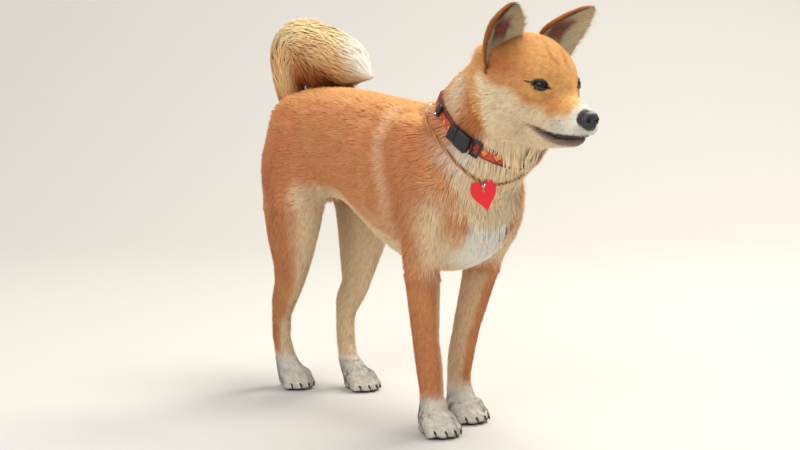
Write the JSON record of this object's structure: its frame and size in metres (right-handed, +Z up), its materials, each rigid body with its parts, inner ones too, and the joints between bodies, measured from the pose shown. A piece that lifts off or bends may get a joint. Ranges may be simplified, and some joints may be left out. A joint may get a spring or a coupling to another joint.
{
  "type": "shiba inu dog model",
  "caption": "Life-size standing shiba inu, ears pricked and tail curled over the back, with a collar, a cord round the neck and a red heart tag",
  "frame": {"origin": "on the floor, under the middle of the model's box", "axes": "+X is the way the dog faces, +Y is its left side, +Z is up"},
  "size_m": [0.6366, 0.1636, 0.5064],
  "materials": {
    "coat": "thick soft fur, red tan with cream underparts",
    "eye": "wet gloss, dark brown",
    "nose_leather": "moist pebbled leather",
    "strap_webbing": "woven webbing, red orange with a yellow motif and dark edges",
    "buckle_plastic": "black moulded",
    "ring_metal": "bright",
    "cord": "tan round cord",
    "tag_enamel": "satin red enamel"
  },
  "bodies": {
    "root": {"torso": "coat", "neck": "coat", "head": "coat", "ear_left": "coat", "ear_right": "coat", "tail": "coat", "foreleg_left": "coat", "foreleg_right": "coat", "front_paw_left": "coat", "front_paw_right": "coat", "hind_leg_left": "coat", "hind_leg_right": "coat", "hind_paw_left": "coat", "hind_paw_right": "coat", "eye_left": "eye", "eye_right": "eye", "nose": "nose_leather", "collar_strap": "strap_webbing", "buckle_socket": "buckle_plastic", "buckle_plug": "buckle_plastic", "collar_slide": "buckle_plastic", "ring_keeper": "buckle_plastic", "collar_ring": "ring_metal", "tag_ring": "ring_metal", "necklace_cord": "cord", "tag_heart": "tag_enamel"}
  },
  "joints": []
}
